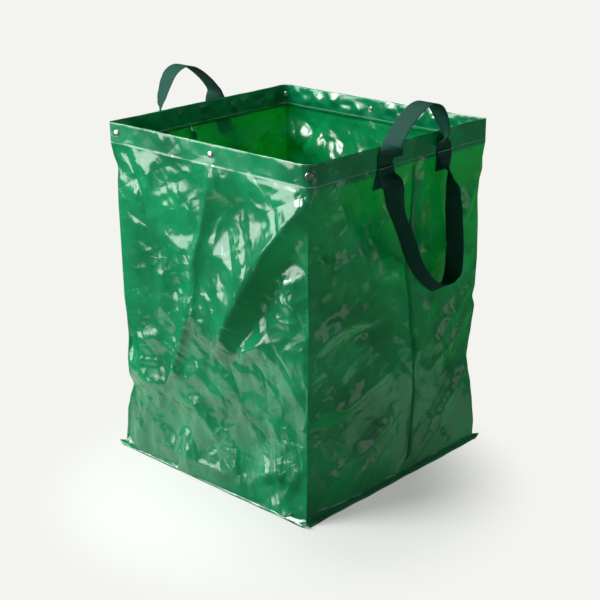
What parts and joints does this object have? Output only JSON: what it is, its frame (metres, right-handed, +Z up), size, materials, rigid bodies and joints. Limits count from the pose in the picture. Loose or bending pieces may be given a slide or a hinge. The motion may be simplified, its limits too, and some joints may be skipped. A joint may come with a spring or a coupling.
{
  "type": "collapsible garden waste bag",
  "caption": "Tall square open bag of glossy green film on a sewn square base, with a riveted hem and webbing carry and tipping loops on two walls.",
  "frame": {"origin": "middle of the base on the floor", "axes": "+Z up; +X towards the end wall with the right-hand handles; +Y from the front wall to the back wall"},
  "size_m": [0.5902, 0.4977, 0.7179],
  "materials": {
    "film": "glossy translucent crumpled film",
    "batten": "plain dark plastic strip",
    "webbing": "flat woven webbing",
    "rivet": "pale nickel, satin",
    "thread": "pale sewing thread"
  },
  "bodies": {
    "root": {"front_panel": "film", "back_panel": "film", "base_panel": "film", "front_rim_batten": "batten", "back_rim_batten": "batten", "right_carry_loop": "webbing", "right_tipping_loop": "webbing", "left_carry_loop": "webbing", "left_tipping_loop": "webbing", "front_left_rivet": "rivet", "front_middle_rivet": "rivet", "front_corner_rivet": "rivet", "back_left_rivet": "rivet", "back_middle_rivet": "rivet", "back_corner_rivet": "rivet", "front_left_washer": "rivet", "front_middle_washer": "rivet", "front_corner_washer": "rivet", "back_left_washer": "rivet", "back_middle_washer": "rivet", "back_corner_washer": "rivet"}
  },
  "joints": []
}
